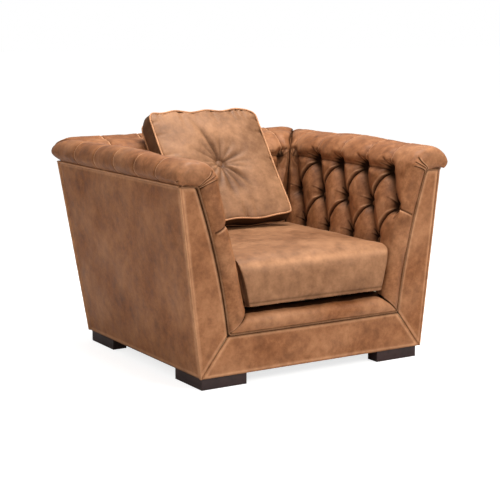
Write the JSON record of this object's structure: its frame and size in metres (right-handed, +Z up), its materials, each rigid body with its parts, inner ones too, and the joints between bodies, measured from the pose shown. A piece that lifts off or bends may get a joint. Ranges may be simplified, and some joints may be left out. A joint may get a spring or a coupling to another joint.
{
  "type": "upholstered armchair",
  "caption": "Square club armchair with flared plain leather outsides, deep buttoned inside arms and back, a loose seat cushion, a loose scatter cushion and low block feet.",
  "frame": {"origin": "on the floor under the middle of the chair's overall width and depth", "axes": "+X to the right seen from the front, +Y towards the back, +Z up; the front faces -Y"},
  "size_m": [1.1564, 1.0402, 0.908],
  "materials": {
    "tan_leather": "pull-up tan leather, satin",
    "foam": "open-cell foam",
    "black_cloth": "matt cloth",
    "fibreboard": "bare fibreboard",
    "frame_wood": "sawn beech",
    "dark_wood": "wenge stain, satin",
    "zinc_steel": "zinc plated"
  },
  "bodies": {
    "root": {"arm_board_left": "fibreboard", "arm_board_right": "fibreboard", "arm_buttons_left": "tan_leather", "arm_buttons_right": "tan_leather", "arm_foam_left": "foam", "arm_foam_right": "foam", "arm_tack_rail_left": "frame_wood", "arm_tack_rail_right": "frame_wood", "arm_top_rail_left": "frame_wood", "arm_top_rail_right": "frame_wood", "back_board": "fibreboard", "back_buttons": "tan_leather", "back_foam": "foam", "back_tack_rail": "frame_wood", "back_top_rail": "frame_wood", "corner_blocks": "frame_wood", "corner_welts": "tan_leather", "deck_cloth": "black_cloth", "deck_cover": "black_cloth", "deck_pad": "foam", "dust_cover": "black_cloth", "facing_board": "fibreboard", "foot_front_left": "dark_wood", "foot_front_right": "dark_wood", "foot_rear_left": "dark_wood", "foot_rear_right": "dark_wood", "foot_screws": "zinc_steel", "front_band_foam": "foam", "front_band_leather": "tan_leather", "front_facing_leather_left": "tan_leather", "front_facing_leather_right": "tan_leather", "front_post_left": "frame_wood", "front_post_right": "frame_wood", "front_rail_leather": "tan_leather", "inside_arm_leather_left": "tan_leather", "inside_arm_leather_right": "tan_leather", "inside_back_leather": "tan_leather", "opening_welt": "tan_leather", "outside_arm_leather_left": "tan_leather", "outside_arm_leather_right": "tan_leather", "outside_back_leather": "tan_leather", "rear_post_left": "frame_wood", "rear_post_right": "frame_wood", "roll_welts": "tan_leather", "seat_rail_front": "frame_wood", "seat_rail_left": "frame_wood", "seat_rail_rear": "frame_wood", "seat_rail_right": "frame_wood", "spring_clips": "zinc_steel", "spring_rail_rear": "frame_wood", "zigzag_springs": "zinc_steel"},
    "seat_cushion": {"seat_cushion_core": "foam", "seat_cushion_cover": "tan_leather", "seat_zip": "black_cloth"},
    "zip_slider": {"seat_zip_slider": "zinc_steel"},
    "scatter_cushion": {"pillow_buttons": "tan_leather", "pillow_cover": "tan_leather", "pillow_filling": "foam", "pillow_piping": "tan_leather"}
  },
  "joints": [
    {"name": "seat_cushion_lift", "type": "slide", "parent": "root", "child": "seat_cushion", "axis": [0, 0, 1], "range_m": [0, 0.56]},
    {"name": "scatter_cushion_lift", "type": "slide", "parent": "seat_cushion", "child": "scatter_cushion", "axis": [0, 0, 1], "range_m": [0, 0.4]},
    {"name": "zip_slide", "type": "slide", "parent": "seat_cushion", "child": "zip_slider", "axis": [-1, 0, 0], "range_m": [0, 0.47]}
  ]
}
